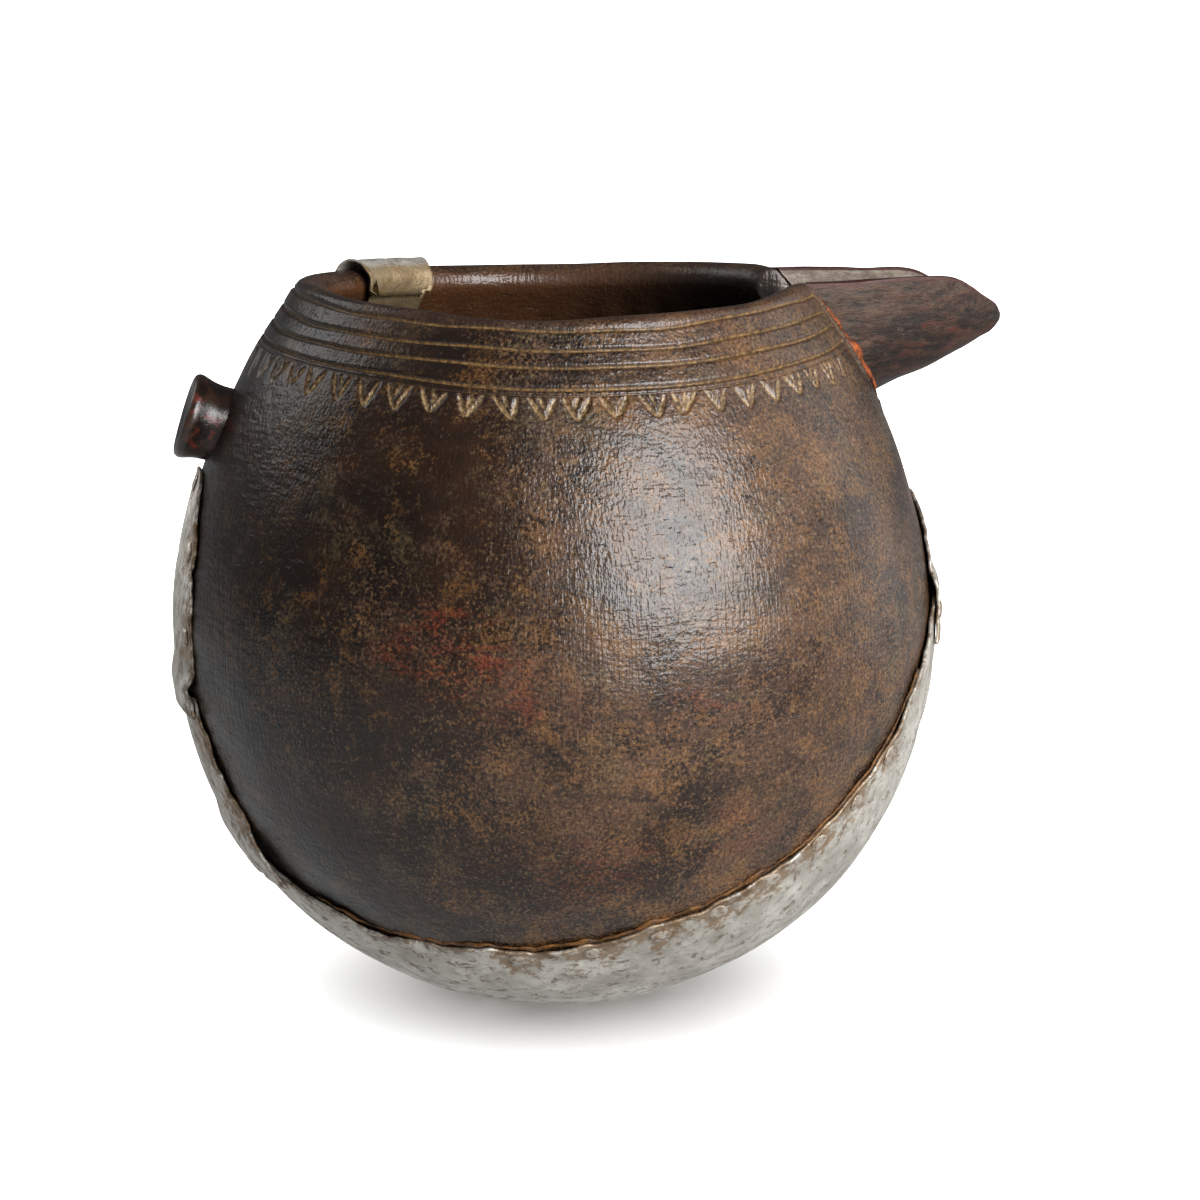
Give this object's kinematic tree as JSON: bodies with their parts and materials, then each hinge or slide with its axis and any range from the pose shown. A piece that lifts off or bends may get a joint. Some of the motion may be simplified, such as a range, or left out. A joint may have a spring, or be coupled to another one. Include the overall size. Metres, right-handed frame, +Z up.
{
  "type": "carved wooden pouring vessel",
  "caption": "Round carved wooden vessel with an open trough spout, a side lug, incised neck rings and a nailed sheet-metal repair round its foot.",
  "frame": {"origin": "middle of the flat foot, on the ground", "axes": "+Z up, +X from the middle towards the spout, +Y to the side that carries the rim clip"},
  "size_m": [0.2192, 0.1974, 0.1892],
  "materials": {
    "dark_wood": "dark waxy patina",
    "reddish_wood": "dark reddish patina",
    "aluminium_sheet": "hammered, stained and dull",
    "nail_metal": "hammered and stained",
    "pitch": "brown plant pitch, stands in for resin"
  },
  "bodies": {
    "root": {"vessel_body": "dark_wood", "spout": "reddish_wood", "lug": "dark_wood", "bottom_sheet": "aluminium_sheet", "lug_strap_lower": "aluminium_sheet", "lug_strap_upper": "aluminium_sheet", "spout_strap": "aluminium_sheet", "rim_clip": "aluminium_sheet", "pitch_seal_front": "pitch", "pitch_seal_back": "pitch", "spout_seal": "pitch", "nail_01": "nail_metal", "nail_02": "nail_metal", "nail_03": "nail_metal", "nail_04": "nail_metal", "nail_05": "nail_metal", "nail_06": "nail_metal", "nail_07": "nail_metal", "nail_08": "nail_metal", "nail_09": "nail_metal", "nail_10": "nail_metal", "nail_11": "nail_metal", "nail_12": "nail_metal", "nail_13": "nail_metal", "nail_14": "nail_metal", "nail_15": "nail_metal", "nail_16": "nail_metal", "nail_17": "nail_metal", "nail_18": "nail_metal", "nail_19": "nail_metal", "nail_20": "nail_metal", "nail_21": "nail_metal", "nail_22": "nail_metal", "nail_23": "nail_metal", "nail_24": "nail_metal", "nail_25": "nail_metal", "nail_26": "nail_metal"}
  },
  "joints": []
}
